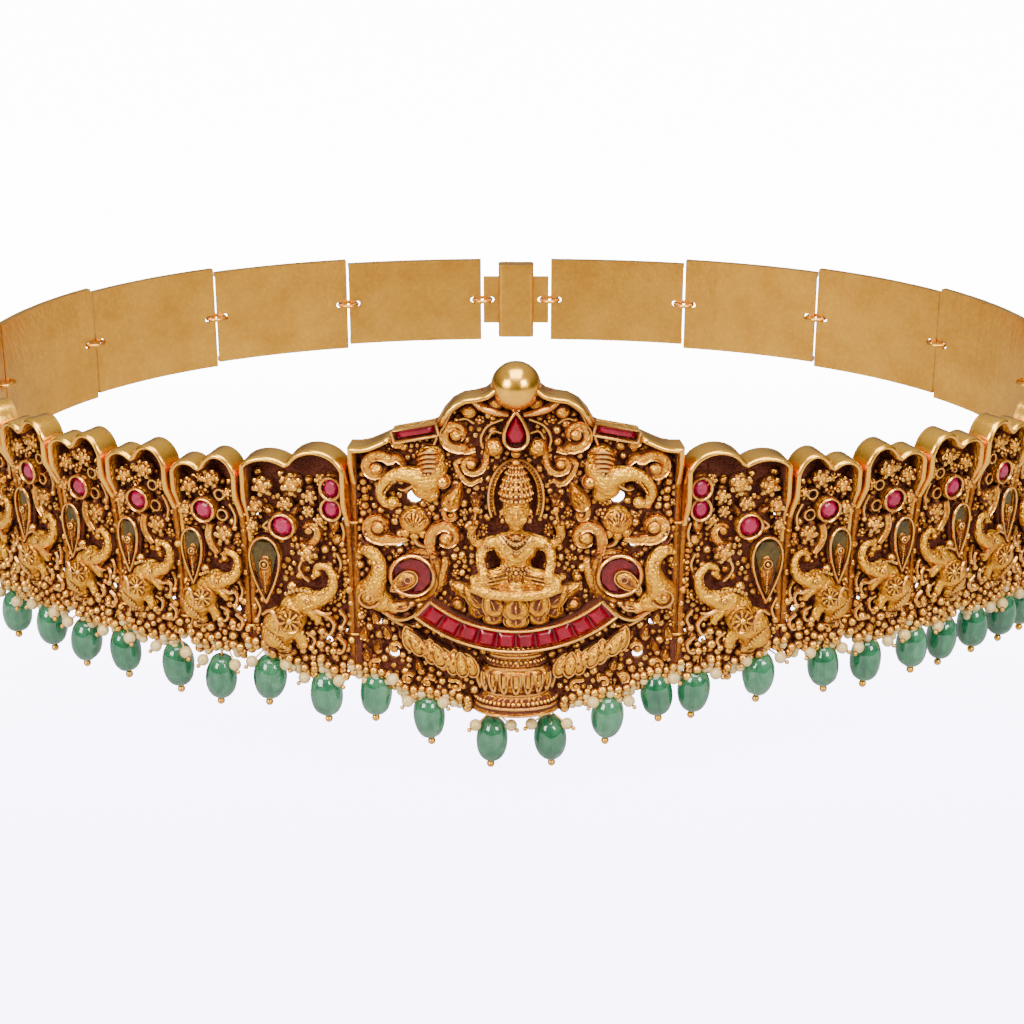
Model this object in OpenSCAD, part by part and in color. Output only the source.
// Waist belt of ornamental gold plates, jewelled and fringed with emerald beads.
// The loop lies flat as worn, its front towards -Y, and the origin is the waist's centre.

/* [Loop] */
// Half the loop's width, side to side, at the middle of the sheet
loop_half_w = 136; // [125:1:150]
// Half the loop's depth, front to back
loop_half_d = 102; // [95:1:115]
// Fullness of the oval, where 2 is an ellipse
loop_power = 2.2; // [2:0.1:2.4]
// Thickness of the gold sheet
sheet_t = 1; // [0.8:0.1:1.2]
// Gap between two plates
plate_gap = 0.7; // [0.6:0.1:0.8]

/* [Centre plaque] */
// Length along the belt from the middle to the plaque's end
plaque_half_w = 33.6; // [33:0.1:34]
// Height of the plaque's top edge beside the crown
plaque_top_z = 27.6; // [27:0.1:28]
// Radius of the finial ball
finial_r = 5; // [4.5:0.1:5.2]
// Height of the finial's centre
finial_z = 40.4; // [40:0.1:41]
// Radius of the middle line of the ruby arc
arc_r = 28.2; // [27.8:0.1:28.6]
// Height of the arc's centre
arc_centre_z = 13.2; // [13:0.1:13.4]
// Half the angle that the ruby arc covers
arc_half_angle = 41; // [40:0.5:42]
// Stones in the ruby arc
arc_stones = 10; // [8:1:12]

/* [Links] */
// Length along the belt of the wide link beside the plaque
first_link_w = 22.6; // [22:0.1:23]
// Length along the belt of each further link
link_pitch = 15.4; // [15.2:0.1:15.6]
// Depth of the hood around a link's top
hood_depth = 5.4; // [4.8:0.1:5.6]
// Plain links on each side of the clasp
back_links = 6; // [6:1:7]
// Height of the plain link beside the last ornamental one
back_link_h = 36; // [30:1:38]
// Height of the clasp
clasp_h = 22; // [20:1:24]
// Length of the clasp along the belt
clasp_w = 20; // [18:1:22]

/* [Fringe] */
// Radius of an emerald bead
bead_r = 3.5; // [3.3:0.1:3.6]
// Height of an emerald bead
bead_h = 10.1; // [9.6:0.1:10.4]
// Radius of a pearl
pearl_r = 1.3; // [1.1:0.1:1.4]
// Radius of the wire of a headpin
pin_r = 0.28; // [0.25:0.01:0.3]

/* [Hidden] */
gold = "goldenrod";
ruby = "crimson";
emerald = "seagreen";
pearl = "oldlace";
enamel = "darkolivegreen";
ring_zs = [9.9, -15.3];     // heights of the jump rings between two front plates
ring_r = 1.7;               // middle radius of a jump ring
ring_wire = 0.28;
hole_r = 0.66;              // hole for a jump ring
back_ring_r = 2.6;          // middle radius of a ring between two plain links
slot_w = 2.6;               // slot that the headpins hang in
slot_h = 1.2;
notch_w = 5.2;              // notch below the slot, which leaves a narrow bar
bar_low = 1.15;
loop_r = 1;                 // middle radius of a headpin's loop
bore_r = 0.42;              // drilled hole of a bead or pearl
stone_gap = 0.12;           // between a stone and its bezel
bezel_wall = 0.7;
pearl_along = 3.8;          // pearl's centre beside its emerald's headpin
pearl_out = 2;              // and in front of the sheet's middle
pearl_above = 4.15;         // and above the emerald's centre
pearl_aside = 0.8;          // pearl's loop beside the emerald's
front = sheet_t / 2;        // the sheet's outer face
root = -0.4;                // where relief starts, inside the sheet
samples = 360;

// Headpins: place along the belt, slot height, height of the emerald's centre, tilt,
// and whether a pearl hangs to the left and to the right
pin_s = 0;
pin_z = 1;
bead_z = 2;
pin_tilt = 3;
pearl_a = 4;
pearl_b = 5;
left_pins = [
    [-4.8, -31.6, -39.6, 3, 1, 1], [-19, -25.2, -34.4, -4, 1, 1], [-29.6, -21.4, -29.4, 2, 0, 1],
    [-41, -21.4, -30.4, -3, 1, 1], [-52.6, -18.6, -27.7, 4, 1, 1], [-64, -18.6, -29.2, 4, 1, 1],
    [-75.4, -18.6, -28, -3, 1, 1], [-89.4, -18.6, -27.3, -5, 1, 1], [-99.8, -18.6, -27.7, 4, 1, 0],
    [-112, -18.6, -27, -2, 1, 1], [-126, -18.6, -28.6, 3, 1, 1]];
right_pins = [
    [7, -31.6, -39.3, -3, 1, 1], [20, -25.2, -34.4, 4, 1, 1], [29.4, -21.4, -29.6, -5, 0, 1],
    [38.4, -21.4, -29.2, 4, 0, 1], [52.6, -18.6, -26.8, 3, 1, 1], [67, -18.6, -26.8, -4, 1, 1],
    [78.4, -18.6, -27.4, 3, 1, 1], [90, -18.6, -26.7, -2, 1, 0], [99.6, -18.6, -26.9, 5, 1, 0],
    [108.6, -18.6, -26.8, -4, 0, 1], [119.9, -18.6, -27, 3, 1, 1], [128.6, -18.6, -27.7, -3, 0, 1]];

// Links: the middle of link k along the belt, half its sheet's width, and its lowest edge
function link_mid(k) = k == 1 ? plaque_half_w + first_link_w / 2
    : plaque_half_w + first_link_w + (k - 1.5) * link_pitch;
function link_half(k) = (k == 1 ? first_link_w : link_pitch) / 2 - plate_gap / 2;
function link_low(k) = k == 1 ? -22.9 : outer_low;
function step_x(hw) = 7.2 - hw;  // where the first link's lower edge steps up to the others'
outer_low = -19.9;
front_end = plaque_half_w + first_link_w + 5 * link_pitch;

// The oval's points, and the table that turns a length along the belt into the oval's angle
function oval(t) = [
    loop_half_w * sign(sin(t)) * pow(abs(sin(t)), 2 / loop_power),
    -loop_half_d * sign(cos(t)) * pow(abs(cos(t)), 2 / loop_power)];
function oval_step(i) = norm(oval((i + 1) * 180 / samples) - oval(i * 180 / samples));
arc_table = [for (i = 0, s = 0; i <= samples; s = s + oval_step(i), i = i + 1)
    [s, i * 180 / samples]];
half_loop = arc_table[samples][0];
back_end = half_loop - clasp_w / 2;
back_pitch = (back_end - front_end) / back_links;
function belt_at(s) = oval(sign(s) * lookup(abs(s), arc_table));
function belt_dir(s) = let (e = 0.4, d = belt_at(min(s + e, half_loop)) - belt_at(s - e))
    atan2(d.y, d.x);
function back_half_h(s) = (back_link_h + (clasp_h - back_link_h)
    * (s - front_end) / (back_end - front_end)) / 2;

// Which ornamental link a length along the belt lies on, or 0 for the centre plaque
function link_at(s) = abs(s) < plaque_half_w ? 0 : abs(s) < plaque_half_w + first_link_w ? 1
    : floor((abs(s) - plaque_half_w - first_link_w) / link_pitch) + 2;

// Where plate k has the length s along the belt: a link is flat, anything else follows the curve
function plate_point(s, k) = k < 1 || k > 6 ? belt_at(s)
    : let (mid = sign(s) * link_mid(k)) belt_at(mid) + (s - mid) * [cos(belt_dir(mid)), sin(belt_dir(mid))];

// Places its children on the plate that lies at s
module on_plate(s, z) {
    k = link_at(s);
    p = plate_point(s, k);
    translate([p.x, p.y, z]) rotate([0, 0, belt_dir(k == 0 ? s : sign(s) * link_mid(k))]) children();
}

// Stands its children on the belt: X runs along it and -Y points away from the waist
module on_belt(s, z = 0) {
    translate(concat(belt_at(s), z)) rotate([0, 0, belt_dir(s)]) children();
}

// Raises a flat drawing (along the belt, up) from one distance in front of the sheet to another
module raise(from, to) {
    rotate([90, 0, 0]) translate([0, 0, from]) linear_extrude(to - from) children();
}

module both_sides() {
    children();
    mirror([1, 0, 0]) children();
}

module ball_at(x, z, r, out) {
    translate([x, -out, z]) rotate([90, 0, 0]) sphere(r, $fn = 6);
}

// Granules soldered to the sheet as low domes, from rows of x, z and radius
module granules(rows) {
    for (g = rows) translate([g[0], -root, g[1]]) rotate([90, 0, 0]) hull()
        cylinder(r1 = g[2], r2 = g[2] * 0.45, h = g[2] * 1.3 - 2 * root, $fn = 5);
}

// A rounded lump between two rows of x, z, radius and distance in front of the sheet's middle
module lump(a, b) {
    hull() for (row = [a, b]) ball_at(row[0], row[1], row[2], row[3]);
}

// A straight limb between two such rows
module limb(a, b) {
    hull() tube([a, b]);
}

// A tube through such rows
module tube(rows, sides = 4) {
    n = len(rows);
    rings = [for (i = [0 : n - 1]) let (
            ahead = rows[min(i + 1, n - 1)] - rows[max(i - 1, 0)],
            across = [ahead[1], -ahead[0]] / norm([ahead[0], ahead[1]]))
        for (j = [0 : sides - 1]) let (a = j * 360 / sides, w = rows[i][2] * cos(a))
            [rows[i][0] + w * across.x, -rows[i][3] + rows[i][2] * sin(a), rows[i][1] + w * across.y]];
    sides_of = [for (i = [0 : n - 2], j = [0 : sides - 1]) let (k = (j + 1) % sides)
        [i * sides + j, (i + 1) * sides + j, (i + 1) * sides + k, i * sides + k]];
    polyhedron(rings, concat(sides_of,
        [[for (j = [0 : sides - 1]) j], [for (j = [sides - 1 : -1 : 0]) (n - 1) * sides + j]]));
}

// A curl drawn flat: an arc strip that ends in a round disc
module curl_2d(r, w, from, to) {
    n = 2;
    turn = (to - from) / n;
    polygon(concat(
        [for (i = [0 : n]) (r + w / 2) * [cos(from + i * turn), sin(from + i * turn)]],
        [for (i = [n : -1 : 0]) (r - w / 2) * [cos(from + i * turn), sin(from + i * turn)]]));
    translate(r * [cos(to), sin(to)]) circle(w, $fn = 4);
}

module curl(x, z, r, w, from, to) {
    raise(root, 2) translate([x, z]) curl_2d(r, w, from, to);
}

module drop_2d(w, h, sides = 6) {
    hull() {
        translate([0, h / 2 - w / 2]) circle(w / 2, $fn = sides);
        translate([0, -h / 2]) circle(w * 0.06, $fn = 3);
    }
}

module bezel(x, z, r, high) {
    raise(root, high) translate([x, z]) difference() {
        circle(r + bezel_wall, $fn = 8);
        circle(r, $fn = 8);
    }
    raise(root, high - 1.6) translate([x, z]) circle(r + 0.1, $fn = 8);
}

// A cut stone: girdle, crown with a table, and a shallow pavilion, its back at out
module cut_stone(r, out, tall = 1) {
    half_h = 0.7;
    translate([0, -out, 0]) scale([1, 1, tall]) rotate([90, 0, 0]) {
        cylinder(r1 = r * 0.7, r2 = r, h = half_h, $fn = 8);
        translate([0, 0, half_h]) cylinder(r1 = r, r2 = r * 0.6, h = half_h, $fn = 8);
    }
}

// What the headpins' loops need: a slot, and a notch below it
module slot() {
    translate([-slot_w / 2, -3, -slot_h / 2]) cube([slot_w, 6, slot_h]);
    translate([-notch_w / 2, -3, -bar_low - 8]) cube([notch_w, 6, 8]);
}

module ring_holes(x) {
    for (z = ring_zs) translate([x, 0, z]) cube([1.3, 6, 1.3], center = true);
}

// Ornamental links, drawn as they stand to the left of the plaque

// Two round lobes on top, straight sides and a scalloped lower edge
module link_outline(hw, low, k) {
    lobe_z = k == 1 ? 20.6 : 18;
    step = step_x(hw);
    polygon([[-hw, lobe_z], [-hw, outer_low], [step, outer_low], [step, low], [hw, low], [hw, lobe_z]]);
    intersection() {
        union() {
            translate([-hw * 0.5, lobe_z]) scale([hw * 0.52, 3.8]) circle(1, $fn = 8);
            translate([hw * 0.42, lobe_z]) scale([hw * 0.6, 5.9]) circle(1, $fn = 8);
        }
        translate([-hw, lobe_z - 1]) square([2 * hw, 9]);
    }
}

module hood(hw, low, k) {
    raise(root, hood_depth) difference() {
        link_outline(hw, low, k);
        translate([-0.15, -1.3]) scale([(hw - 1.1) / hw, 0.97]) link_outline(hw, low, k);
        translate([-hw - 1, low - 1]) square([2 * hw + 2, 14.2 - low]);
    }
}

// Elephant with a raised trunk, walking towards +X, its head at the origin
module elephant(size = 1) {
    scale([size, 1, size]) {
        tube([[-6.4, -7.6, 1.5, 1.8], [-4.4, -5.4, 2.8, 2.2], [0.4, 0, 2, 2.9], [4.4, 1.8, 1, 3.1],
            [4.9, 5.4, 0.8, 3], [2.7, 6.4, 0.6, 2.8]]);
        limb([-4.6, -7.6, 1.6, 1.5], [-4.2, -10.6, 1.3, 1.2]);
        hull() raise(2.6, 4.6) translate([-2.2, -3.2]) circle(2, $fn = 5);
    }
}

// Enamelled feather: a drop-shaped gold frame with an inner gold drop
module feather_frame(w, h) {
    raise(root, 3.4) difference() {
        drop_2d(w, h);
        translate([0, 0.3]) drop_2d(w - 1.5, h - 2.2);
    }
    raise(root, 1.4) drop_2d(w - 0.4, h - 0.4);
    raise(root, 3.1) translate([0, -1.5]) drop_2d(w * 0.34, h * 0.52, 5);
}

module feather_enamel(w, h) {
    raise(1.4 + stone_gap, 2.7) difference() {
        offset(delta = -stone_gap) translate([0, 0.3]) drop_2d(w - 1.5, h - 2.2);
        translate([0, -1.5]) offset(delta = stone_gap) drop_2d(w * 0.34, h * 0.52, 5);
        translate([-w, -h]) square([2 * w, h * 0.72]);
    }
}

// Places of the stones on a link: x, z and the feather's width and height
function link_ruby(k) = k == 1 ? [-3.1, 8.6] : [-1.2, 10.4];
function link_ruby_r(k) = k == 1 ? 2.2 : 2.05;
function feather_place(k) = k == 1 ? [-7.4, -1.6] : [-4.4, -0.4];
function feather_size(k) = k == 1 ? [7.2, 14.8] : [5.2, 12.6];
strap_place = [7.7, 15.6];
strap_stone = [1.75, 2.15];

module sheet(k) {
    hw = link_half(k);
    low = link_low(k);
    difference() {
        union() {
            raise(-front, front) link_outline(hw, low, k);
            raise(-front, front) for (x = [-0.55, 0.05, 0.62] * hw)
                translate([x, (x < step_x(hw) ? outer_low : low) + 0.2]) circle(2.1, $fn = 6);
        }
        for (side = [-1, 1]) ring_holes(side * (hw + plate_gap / 2 - ring_r));
        for (gap = k == 1 ? [[5.4, -17.6], [-1, -19.6], [-10, -19]] : [[3.1, -8.6], [4.2, -12.4]])
            translate([gap[0], 3, gap[1]]) rotate([90, 0, 0]) cylinder(r = 0.9, h = 6, $fn = 4);
    }
}

module link_relief(k) {
    first = k == 1;
    hw = link_half(k);
    r = link_ruby(k);
    f = feather_place(k);
    fs = feather_size(k);
    hood(hw, link_low(k), k);
    bezel(r[0], r[1], link_ruby_r(k) + stone_gap, 3.6);
    translate([f[0], 0, f[1]]) feather_frame(fs[0], fs[1]);
    if (first) {
        translate([0.9, 0, -7.6]) elephant(1.22);
        raise(root, 3.8) difference() {
            translate(strap_place) hull() for (d = [2.2, -2.2]) translate([0, d]) circle(2.7, $fn = 6);
            for (d = [2.25, -2.25]) translate(strap_place + [0, d])
                scale(strap_stone + [stone_gap, stone_gap]) circle(1, $fn = 8);
        }
        raise(root, 2.2) translate(strap_place) square([4, 7.6], center = true);
        curl(3.4, 7.8, 2.2, 0.9, 100, -110);
        curl(6.2, -14.6, 1.9, 0.8, 150, -60);
        granules([[-6.2, 17.6, 2], [-0.4, 18.6, 2], [-9.4, 13.8, 1.7], [-1.4, 14.2, 1.6], [-9.6, 6.9, 1.4],
            [1.8, 2.4, 1.4], [9, 4, 1.3], [8.6, -2, 1.3], [7.4, -10.6, 1.3]]);
    } else {
        translate([0.6, 0, -5.2]) elephant(1);
        granules([[0.4, 18.6, 1.9], [-4.9, 16.6, 1.7], [-5.6, 12.6, 1.5], [2.6, 13.6, 1.4], [3, 5.6, 1.6],
            [2.4, -15.4, 1.3]]);
    }
}

module link(side, k) {
    pins = side < 0 ? left_pins : right_pins;
    color(gold) on_belt(side * link_mid(k)) difference() {
        union() {
            mirror([side < 0 ? 0 : 1, 0, 0]) {
                sheet(k);
                link_relief(k);
            }
        }
        for (p = pins) if (abs(p[pin_s] - side * link_mid(k)) < link_half(k))
            translate([p[pin_s] - side * link_mid(k), 0, p[pin_z]]) slot();
    }
}

module on_link(side, k) {
    on_belt(side * link_mid(k)) mirror([side < 0 ? 0 : 1, 0, 0]) children();
}

// Centre plaque, its right half drawn and mirrored

// Gaps pierced through the sheet on each side: place along the belt, height and half size
plaque_gaps = [[20.8, 14.6, 1.3], [25.4, 19.6, 1], [24.4, 5.2, 0.9], [17.6, -12.4, 0.9], [25.6, -19.8, 1.1],
    [13.2, -23.6, 1], [28.6, -12.6, 0.9]];

// Outline of the sheet, each half from the foot of the pedestal round to the finial
module plaque_outline() {
    half = [[0, -33], [9.6, -33], [10.2, -29.4], [15.4, -28.8], [22.6, -28.2], [25, -25.4],
        [plaque_half_w, -23.2], [plaque_half_w, 27.2], [30, plaque_top_z], [26, 29.6], [16.4, 31.2],
        [14.2, 34], [10.8, 37.6], [6, 38.6], [3.4, 41], [0, 42]];
    polygon(concat(half, [for (i = [len(half) - 2 : -1 : 1]) [-half[i].x, half[i].y]]));
}

// Bends its children's flat drawing into a wall along the belt's curve
module curved_wall(from, to, short = 0) {
    n = 6;
    reach = plaque_half_w - plate_gap / 2 - short;
    lengths = [for (i = [0 : n]) (2 * i / n - 1) * reach];
    intersection() {
        rotate([90, 0, 0]) translate([0, 0, loop_half_d - 12]) linear_extrude(24) children();
        translate([0, 0, -60]) linear_extrude(120) polygon(concat(
            [for (s = lengths) wall_point(s, to)], [for (i = [n : -1 : 0]) wall_point(lengths[i], from)]));
    }
}

function wall_point(s, out) = belt_at(s) + out * [sin(belt_dir(s)), -cos(belt_dir(s))];

module plaque_sheet() {
    difference() {
        curved_wall(-front, front) plaque_outline();
        for (side = [-1, 1]) {
            on_belt(side * (plaque_half_w - ring_r)) ring_holes(0);
            for (gap = plaque_gaps)
                on_belt(side * gap[0], gap[1]) translate([0, 3, 0]) rotate([90, 0, 0])
                    cylinder(r = gap[2], h = 6, $fn = 4);
        }
    }
}

// Rim along the plaque's upper edge, deep like the links' hoods
module plaque_rim() {
    curved_wall(root, hood_depth, 0.1) difference() {
        offset(delta = -0.05) plaque_outline();
        offset(delta = -1.2) plaque_outline();
        translate([-40, -40]) square([80, 62]);
        for (side = [-1, 1]) translate([side * 20, 30.6]) rotate(-12 * side) square([9.4, 3], center = true);
    }
}

// Channel of the ruby arc
module arc_channel() {
    half = 2.6;
    wall = 0.6;
    raise(root, 4.2) translate([0, arc_centre_z]) difference() {
        sector(arc_r + half, arc_r - half, arc_half_angle + 1.6);
        sector(arc_r + half - wall, arc_r - half + wall, arc_half_angle + 0.2);
    }
    raise(root, 2.6) translate([0, arc_centre_z])
        sector(arc_r + half - 0.2, arc_r - half + 0.2, arc_half_angle + 1);
}

module sector(outer, inner, half_angle) {
    n = arc_stones;
    angles = [for (i = [0 : n]) -90 - half_angle + i * 2 * half_angle / n];
    polygon(concat([for (a = angles) outer * [cos(a), sin(a)]],
        [for (i = [n : -1 : 0]) inner * [cos(angles[i]), sin(angles[i])]]));
}

// Seated four-armed figure with a tall crown, its waist at the origin and its face plain and calm
module seated_figure() {
    both_sides() {
        tube([[3.4, 4.2, 1.5, 3], [5.4, 0.4, 1.2, 3.4], [7, -3.4, 0.9, 4.2]]);
        tube([[4.4, 3.8, 1, 2], [8.6, 5.4, 0.9, 2.2], [8, 9, 1.1, 2.6], [7.9, 12.4, 0.5, 2.4]]);
        limb([0.6, -5, 2.2, 3.4], [9, -5.4, 1.8, 3.8]);
    }
    limb([-4, -6.8, 1.5, 4.6], [4, -6.8, 1.5, 4.6]);
    lump([0, -3.4, 3, 2.6], [0, 0.6, 2.5, 2.6]);
    lump([-2.6, 3.4, 2, 2.8], [2.6, 3.4, 2, 2.8]);
    limb([0, 4, 1.3, 2.6], [0, 8.4, 1.3, 2.8]);
    translate([0, -3.4, 10.2]) scale([2.8, 2.6, 3.5]) sphere(1, $fn = 8);
    translate([0, -2.6, 12.8]) cylinder(r1 = 3.4, r2 = 2.6, h = 4.8, $fn = 8);
    translate([0, -2.6, 17.4]) cylinder(r1 = 2.3, r2 = 0.9, h = 3, $fn = 6);
    raise(root, 1.8) translate([0, 12]) difference() {
        scale([5.6, 8.6]) circle(1, $fn = 8);
        scale([4.6, 7.6]) circle(1, $fn = 8);
        translate([-8, -12]) square([16, 11]);
    }
}

module lotus_seat() {
    raise(root, 3) translate([-6, -13.2]) square([12, 9]);
    both_sides() tube([[8.4, -9, 1.3, 2.8], [10.9, -4.8, 0.4, 2.4]]);
    tube([[-9, -8.4, 1, 2], [-6, -9.2, 1.9, 3.2], [6, -9.2, 1.9, 3.2], [9, -8.4, 1, 2]], 6);
    tube([[-6.6, -11.6, 1, 2], [-3, -12.8, 1.5, 3], [3, -12.8, 1.5, 3], [6.6, -11.6, 1, 2]], 6);
}

module pedestal() {
    rows = [[-17.4, 5.4], [-20.6, 6], [-22, 8.4], [-27.2, 6.6], [-28, 8.2], [-30.8, 8.8]];
    intersection() {
        scale([1, 0.62, 1]) rotate_extrude($fn = 14)
            polygon(concat([[0, rows[0][0]]], [for (r = rows) [r[1], r[0]]], [[0, rows[5][0]]]));
        translate([-12, -8 - root, -34]) cube([24, 8, 20]);
    }
}

// Elephant's head seen in profile beside the crown, looking outwards
module elephant_head() {
    lump([17.2, 24.4, 2.4, 2.2], [17.6, 19.8, 2.5, 2.2]);
    tube([[18.2, 20.2, 2, 2.6], [22.2, 21.6, 1.2, 2.8], [25.6, 19.6, 0.9, 2.6], [25.8, 16.4, 0.8, 2.6],
        [23.9, 15.8, 0.8, 2.4]]);
    granules([[14.4, 20.2, 1.5]]);
    limb([12.2, 19, 1, 1.1], [12.6, 13.8, 1.6, 1]);
}

// Peacock at the plaque's end: body, neck and head, and the frame of its tail
module peacock() {
    tube([[26.4, -9, 1.2, 1.8], [30.2, -5.6, 2.6, 2.4], [28.4, -1, 1.5, 2.6], [27.8, 2, 1.2, 2.6],
        [29.4, 4.6, 1.2, 2.8], [32, 4, 0.4, 2.6]], 5);
    raise(root, 3.4) translate([21, -0.9]) difference() {
        circle(4.8, $fn = 9);
        circle(4, $fn = 9);
    }
    raise(root, 1.6) translate([21, -0.9]) circle(4.2, $fn = 9);
    tube([[22, -1.6, 1.3, 2.4], [26, -5.4, 0.7, 2.2]]);
    tube([[26.4, -9.2, 0.9, 1], [21.4, -10.4, 1.1, 1]]);
}

// The parts around the middle, in front of the sheet
module plaque_middle() {
    arc_channel();
    translate([0, 0, 4.4]) {
        seated_figure();
        lotus_seat();
    }
    pedestal();
    translate([0, -2.6, finial_z]) sphere(finial_r, $fn = 10);
    raise(root, 3.8) translate([0, 31.2]) rotate(180) difference() {
        drop_2d(6, 8.6);
        drop_2d(4.6, 6.8);
    }
    raise(root, 2) translate([0, 31.2]) rotate(180) drop_2d(5, 7.6);
    both_sides() {
        ball_at(3.9, 36.6, 1.8, 2);
        tube([[1.9, 35, 0.7, 3], [5.4, 35.2, 0.8, 2.2], [8.6, 36.8, 0.8, 1.2]]);
        ball_at(9.2, 34.6, 1.5, 1.6);
        ball_at(4.3, 27.2, 1.9, 1.7);
        granules([[11.6, 30.2, 2.3], [8.9, 23.6, 2.3]]);
        curl(13.6, 26.6, 2.2, 0.9, -60, 110);
    }
}

// The parts further out, each turned to the belt's curve
module plaque_wing() {
    middle = 22;
    on_belt(middle) translate([-middle, 0, 0]) {
        elephant_head();
        peacock();
        raise(root, 4.2) translate([20, 30.6]) rotate(-12) difference() {
            square([9, 2.6], center = true);
            square([8, 1.8], center = true);
        }
        raise(root, 2.4) translate([20, 30.6]) rotate(-12) square([8.4, 2.2], center = true);
        curl(27.6, 23.4, 2.3, 0.9, -30, 190);
        curl(28.2, 11.4, 1.9, 0.8, 200, -60);
        curl(14, 7.4, 2.2, 0.9, -20, 230);
        tube([[15.8, 6.4, 0.8, 0.9], [16.2, -3.6, 0.9, 0.9]]);
        limb([18.8, 12.6, 1.6, 1.1], [22.2, 8, 1.6, 1.1]);
        granules([[20.2, -16.2, 2.2], [15.6, -18.4, 2.2], [11, -20.2, 2.2], [30.2, 19, 1.1],
            [22.6, 28.6, 1.4], [24.8, -23, 1.3], [16, -24.6, 1.3]]);
    }
}

module centre_plaque() {
    color(gold) difference() {
        union() {
            plaque_sheet();
            plaque_rim();
            translate([0, -loop_half_d, 0]) plaque_middle();
            both_sides() plaque_wing();
        }
        for (pins = [left_pins, right_pins], p = pins) if (abs(p[pin_s]) < plaque_half_w)
            on_belt(p[pin_s], p[pin_z]) slot();
    }
}

// Stones and enamels

module arc_rubies() {
    color(ruby) for (i = [0 : arc_stones - 1]) {
        a = -90 - arc_half_angle + (i + 0.5) * 2 * arc_half_angle / arc_stones;
        half_h = 1.8;
        half_w = (arc_r - half_h) * tan(arc_half_angle / arc_stones) - 0.75 * stone_gap;
        translate([arc_r * cos(a), -loop_half_d - 2.6 - stone_gap, arc_centre_z + arc_r * sin(a)])
            rotate([0, -a - 90, 0]) rotate([90, 0, 0]) hull() {
                square_prism(half_w, half_h, 0, 0.5);
                square_prism(half_w * 0.62, 1.1, 1.2, 0.05);
            }
    }
}

module square_prism(half_w, half_h, from, high) {
    c = 0.25;
    translate([0, 0, from]) linear_extrude(high) polygon([
        [c - half_w, -half_h], [half_w - c, -half_h], [half_w, c - half_h], [half_w, half_h - c],
        [half_w - c, half_h], [c - half_w, half_h], [-half_w, half_h - c], [-half_w, c - half_h]]);
}

module crest_ruby() {
    color(ruby) translate([0, -loop_half_d - 2 - stone_gap, 31.2]) rotate([90, 180, 0]) hull() {
        linear_extrude(0.8) drop_2d(4.2, 6.2);
        translate([0, 0.3, 1.7]) linear_extrude(0.05) drop_2d(2.6, 4.2);
    }
}

module shoulder_rubies() {
    color(ruby) for (side = [-1, 1]) mirror([side < 0 ? 1 : 0, 0, 0])
        on_belt(22) translate([-2, -2.4 - stone_gap, 30.6]) rotate([0, 12, 0]) rotate([90, 0, 0])
            hull() {
                square_prism(3.8, 0.75, 0, 0.6);
                square_prism(3, 0.4, 1.1, 0.05);
            }
}

module strap_rubies() {
    color(ruby) for (side = [-1, 1], d = [2.25, -2.25])
        on_link(side, 1) translate([strap_place[0], 0, strap_place[1] + d])
            cut_stone(strap_stone[0], 2.2 + stone_gap, strap_stone[1] / strap_stone[0]);
}

module link_rubies() {
    color(ruby) for (side = [-1, 1], k = [1 : 6])
        on_link(side, k) translate([link_ruby(k)[0], 0, link_ruby(k)[1]])
            cut_stone(link_ruby_r(k), 2 + stone_gap);
}

module feather_enamels() {
    color(enamel) for (side = [-1, 1], k = [1 : 6])
        on_link(side, k) translate([feather_place(k)[0], 0, feather_place(k)[1]])
            feather_enamel(feather_size(k)[0], feather_size(k)[1]);
}

module peacock_enamels() {
    color("maroon") for (side = [-1, 1]) mirror([side < 0 ? 1 : 0, 0, 0])
        on_belt(22) translate([-22, 0, 0]) raise(1.6 + stone_gap, 2.8) translate([21, -0.9])
            difference() {
                circle(3.75, $fn = 9);
                translate([3.1, -2]) circle(3.9, $fn = 8);
            }
}

// Fringe

module emerald_bead(p) {
    rows = 10;
    color(emerald) pin_frame(p) translate([0, 0, -bead_down(p)]) difference() {
        rotate_extrude($fn = 40) polygon(concat([[0, bead_h / 2]],
            [for (i = [0 : rows]) let (a = 80 - i * 160 / rows)
                [bead_r * pow(cos(a), 0.8), bead_h / 2 * sin(a) / sin(80)]],
            [[0, -bead_h / 2]]));
        cylinder(r = bore_r, h = bead_h + 2, center = true, $fn = 24);
    }
}

// Where a headpin's wire leaves its loop, leaning by the pin's tilt
module pin_frame(p) {
    on_plate(p[pin_s], p[pin_z] - 2 * loop_r) rotate([0, p[pin_tilt], 0]) children();
}

function bead_down(p) = p[pin_z] - 2 * loop_r - p[bead_z];

// Loop of a headpin, through its slot and around the bar below it, hammered thinner than its wire
module pin_loop(s, z, wire) {
    on_plate(s, z - loop_r) rotate([0, 90, 0]) rotate_extrude($fn = 32)
        translate([loop_r, 0]) circle(wire * 0.8, $fn = 16);
}

// Wire of a headpin below its loop, and the ball at its end
module pin_wire(length, wire, ball) {
    translate([0, 0, -length]) cylinder(r = wire, h = length, $fn = 16);
    translate([0, 0, -length]) sphere(ball, $fn = 24);
}

module emerald_pins() {
    color(gold) for (pins = [left_pins, right_pins], p = pins) {
        pin_loop(p[pin_s], p[pin_z], pin_r);
        pin_frame(p) pin_wire(bead_down(p) + bead_h / 2 + 1, pin_r, 0.85);
    }
}

// The pearls that hang: the row of the headpin that each shares its slot with, and its side of it
hung_pearls = [for (pins = [left_pins, right_pins], p = pins, side = [-1, 1])
    if (p[side < 0 ? pearl_a : pearl_b] == 1) [p, side]];

// From the loop's foot to a pearl: along the belt, outwards and down to the emerald's shoulder
function pearl_reach(h) = [h[1] * (pearl_along - pearl_aside), pearl_out, bead_down(h[0]) - pearl_above];

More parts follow.
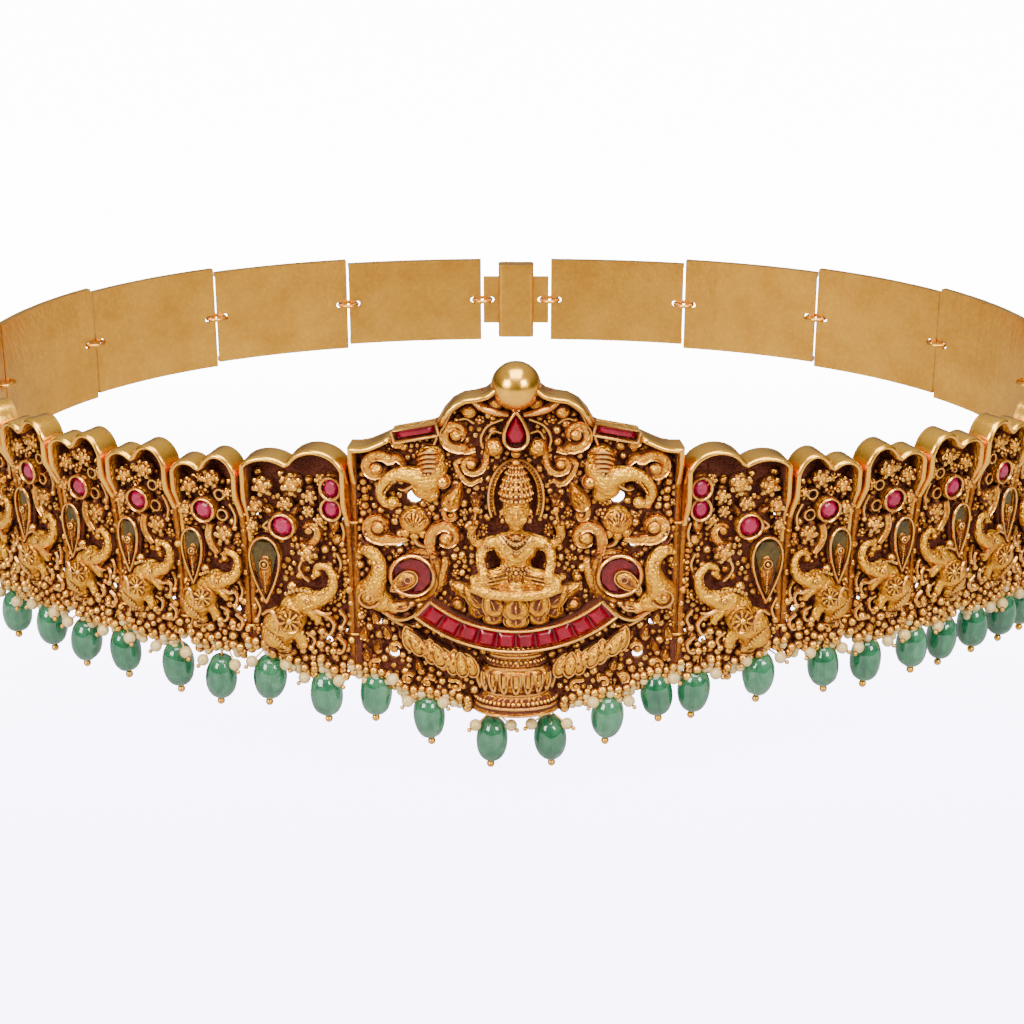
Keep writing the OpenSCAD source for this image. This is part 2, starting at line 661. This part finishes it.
// Turns its children's -Z from the loop's foot towards the pearl
module pearl_frame(h) {
    r = pearl_reach(h);
    on_plate(h[0][pin_s] + h[1] * pearl_aside, h[0][pin_z] - 2 * loop_r)
        rotate([0, 0, atan2(r.x, r.y)]) rotate([-atan2(norm([r.x, r.y]), r.z), 0, 0]) children();
}

module pearls() {
    color(pearl) for (h = hung_pearls) pearl_frame(h) translate([0, 0, -norm(pearl_reach(h))])
        difference() {
            sphere(pearl_r, $fn = 32);
            cylinder(r = bore_r, h = 4, center = true, $fn = 24);
        }
}

module pearl_pins() {
    color(gold) for (h = hung_pearls) {
        pin_loop(h[0][pin_s] + h[1] * pearl_aside, h[0][pin_z], 0.2);
        pearl_frame(h) pin_wire(norm(pearl_reach(h)) + 1.7, 0.2, 0.5);
    }
}

// Jump rings, plain back links and clasp

// Ring in the gap at s, midway between the edges of plate k and the next one
module jump_ring(s, k, z, r, wire) {
    centre = (plate_point(s, k) + plate_point(s, k + 1)) / 2;
    translate([centre.x, centre.y, z]) rotate_extrude($fn = 40) translate([r, 0]) circle(wire, $fn = 20);
}

// Length along the belt of the gap after plate k
function join_at(k) = plaque_half_w + (k == 0 ? 0 : first_link_w + (k - 1) * link_pitch);

module link_rings() {
    color(gold) for (side = [-1, 1]) {
        for (k = [0 : 6], z = ring_zs) jump_ring(side * join_at(k), k, z, ring_r, ring_wire);
        for (i = [1 : back_links]) jump_ring(side * (front_end + i * back_pitch), 7, 0, back_ring_r, 0.5);
    }
}

// Plain link i of the hidden stretch, curved with the belt, with a raised border
module back_link(side, i) {
    from = front_end + i * back_pitch + plate_gap / 2;
    to = front_end + (i + 1) * back_pitch - plate_gap / 2;
    half_h = back_half_h(front_end + i * back_pitch);
    border = 1.4;
    hole = 0.95;
    difference() {
        union() {
            translate([0, 0, -half_h]) linear_extrude(2 * half_h) belt_strip(side, from, to, -front, front);
            for (z = [-half_h, half_h - border])
                translate([0, 0, z]) linear_extrude(border) belt_strip(side, from, to, 0, front + 0.8);
        }
        for (z = i == 0 ? ring_zs : [0])
            end_hole(side * (from - plate_gap / 2), side, z, i == 0 ? hole_r : hole);
        end_hole(side * (to + plate_gap / 2), -side, 0, hole);
    }
}

module end_hole(s, way, z, r) {
    from_edge = r == hole_r ? ring_r : back_ring_r;
    on_belt(s, z) translate([way * from_edge, 3, 0]) rotate([90, 0, 0]) cylinder(r = r, h = 6, $fn = 24);
}

// Flat strip between two lengths along the belt and two distances in front of the sheet's middle
module belt_strip(side, from, to, inner, outer) {
    n = 8;
    lengths = [for (i = [0 : n]) side * (from + i * (to - from) / n)];
    polygon(concat([for (s = lengths) wall_point(s, outer)],
        [for (i = [n : -1 : 0]) wall_point(lengths[i], inner)]));
}

module back_links_side(side) {
    color(gold) for (i = [0 : back_links - 1]) back_link(side, i);
}

// Plain clasp, shown fastened, at the middle of the back
module clasp() {
    tongue = clasp_w - plate_gap;
    color(gold) difference() {
        on_belt(half_loop) {
            translate([-tongue / 2, -front, -clasp_h * 0.32]) cube([tongue, sheet_t, clasp_h * 0.64]);
            translate([0, 0, -clasp_h / 2]) linear_extrude(clasp_h) offset(1.2, $fn = 24)
                square([8, 1.8], center = true);
        }
        for (way = [-1, 1]) on_belt(half_loop) translate([way * (clasp_w / 2 - back_ring_r), 3, 0])
            rotate([90, 0, 0]) cylinder(r = 0.95, h = 6, $fn = 24);
    }
}

centre_plaque();
for (k = [1 : 6]) link(-1, k);
for (k = [1 : 6]) link(1, k);
back_links_side(-1);  // back_links_left
back_links_side(1);  // back_links_right
clasp();
link_rings();
arc_rubies();
crest_ruby();
shoulder_rubies();
strap_rubies();
link_rubies();
feather_enamels();
peacock_enamels();
for (i = [1 : len(left_pins)])
    emerald_bead(left_pins[i - 1]);
for (i = [1 : len(right_pins)])
    emerald_bead(right_pins[i - 1]);
emerald_pins();
pearls();
pearl_pins();
